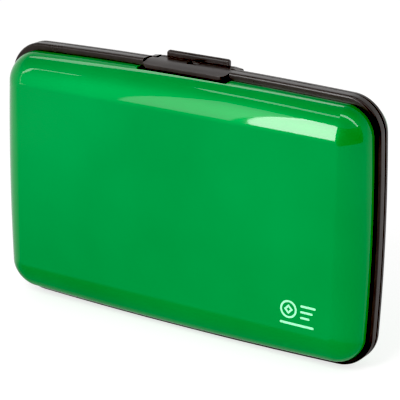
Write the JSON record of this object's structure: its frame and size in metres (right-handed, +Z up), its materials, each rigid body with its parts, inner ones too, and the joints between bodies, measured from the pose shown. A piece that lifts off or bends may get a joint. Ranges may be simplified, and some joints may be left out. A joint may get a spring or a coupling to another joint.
{
  "type": "accordion card holder",
  "caption": "Slim clamshell card case: two dished metal shells on hinged plastic frames, a lever latch on top and a fan of card pockets inside.",
  "frame": {"origin": "on the ground under the middle of the closed case, which stands on its hinge edge", "axes": "+X along the hinge to the right seen from the front, +Y from the front shell to the rear shell, +Z up from the hinge to the latch"},
  "size_m": [0.11, 0.02, 0.0714],
  "materials": {
    "green_lacquer": "sheet aluminium, stamped, coated in clear glossy green lacquer",
    "black_abs": "moulded ABS, satin black",
    "steel": "drawn steel wire, cut to length",
    "smoke_polypropylene": "extruded polypropylene sheet, smoke grey, fine matt texture",
    "gusset_film": "polypropylene film, smoke grey, creased",
    "foam_tape": "double-sided foam tape"
  },
  "bodies": {
    "rear_half": {"rear_shell": "green_lacquer", "rear_frame": "black_abs", "hinge_pin_left": "steel", "hinge_pin_right": "steel", "latch_pin": "steel", "rear_tape": "foam_tape", "rear_end_panel": "smoke_polypropylene", "pocket_gusset_1": "gusset_film"},
    "front_half": {"front_shell": "green_lacquer", "front_frame": "black_abs", "front_tape": "foam_tape"},
    "latch": {"latch_lever": "black_abs"},
    "divider_body_1": {"divider_1": "smoke_polypropylene", "pocket_gusset_2": "gusset_film"},
    "divider_body_2": {"divider_2": "smoke_polypropylene", "pocket_gusset_3": "gusset_film"},
    "divider_body_3": {"divider_3": "smoke_polypropylene", "pocket_gusset_4": "gusset_film"},
    "divider_body_4": {"divider_4": "smoke_polypropylene", "pocket_gusset_5": "gusset_film"},
    "divider_body_5": {"divider_5": "smoke_polypropylene", "pocket_gusset_6": "gusset_film"},
    "divider_body_6": {"divider_6": "smoke_polypropylene", "pocket_gusset_7": "gusset_film"},
    "front_panel_body": {"front_end_panel": "smoke_polypropylene"}
  },
  "joints": [
    {"name": "lid_hinge", "type": "hinge", "parent": "rear_half", "child": "front_half", "pos_m": [0, 0.0003, 0.0015], "axis": [1, 0, 0], "range_deg": [0, 63]},
    {"name": "latch_pivot", "type": "hinge", "parent": "rear_half", "child": "latch", "pos_m": [0, 0.0033, 0.06885], "axis": [-1, 0, 0], "range_deg": [0, 12]},
    {"name": "divider_1_swing", "type": "hinge", "parent": "rear_half", "child": "divider_body_1", "pos_m": [0, 0.0003, 0.0015], "axis": [1, 0, 0], "range_deg": [0, 9.1], "deforming": ["pocket_gusset_1"]},
    {"name": "divider_2_swing", "type": "hinge", "parent": "divider_body_1", "child": "divider_body_2", "pos_m": [0, 0.0003, 0.0015], "axis": [1, 0, 0], "range_deg": [0, 9.1], "deforming": ["pocket_gusset_2"]},
    {"name": "divider_3_swing", "type": "hinge", "parent": "divider_body_2", "child": "divider_body_3", "pos_m": [0, 0.0003, 0.0015], "axis": [1, 0, 0], "range_deg": [0, 9.1], "deforming": ["pocket_gusset_3"]},
    {"name": "divider_4_swing", "type": "hinge", "parent": "divider_body_3", "child": "divider_body_4", "pos_m": [0, 0.0003, 0.0015], "axis": [1, 0, 0], "range_deg": [0, 9.1], "deforming": ["pocket_gusset_4"]},
    {"name": "divider_5_swing", "type": "hinge", "parent": "divider_body_4", "child": "divider_body_5", "pos_m": [0, 0.0003, 0.0015], "axis": [1, 0, 0], "range_deg": [0, 9.1], "deforming": ["pocket_gusset_5"]},
    {"name": "divider_6_swing", "type": "hinge", "parent": "divider_body_5", "child": "divider_body_6", "pos_m": [0, 0.0003, 0.0015], "axis": [1, 0, 0], "range_deg": [0, 9.1], "deforming": ["pocket_gusset_6"]},
    {"name": "front_panel_swing", "type": "hinge", "parent": "divider_body_6", "child": "front_panel_body", "pos_m": [0, 0.0003, 0.0015], "axis": [1, 0, 0], "range_deg": [0, 9.1], "deforming": ["pocket_gusset_7"]}
  ],
  "couplings": [
    {"joint": "divider_1_swing", "follows": "lid_hinge", "ratio": 0.14286},
    {"joint": "divider_2_swing", "follows": "lid_hinge", "ratio": 0.14286},
    {"joint": "divider_3_swing", "follows": "lid_hinge", "ratio": 0.14286},
    {"joint": "divider_4_swing", "follows": "lid_hinge", "ratio": 0.14286},
    {"joint": "divider_5_swing", "follows": "lid_hinge", "ratio": 0.14286},
    {"joint": "divider_6_swing", "follows": "lid_hinge", "ratio": 0.14286},
    {"joint": "front_panel_swing", "follows": "lid_hinge", "ratio": 0.14286}
  ]
}
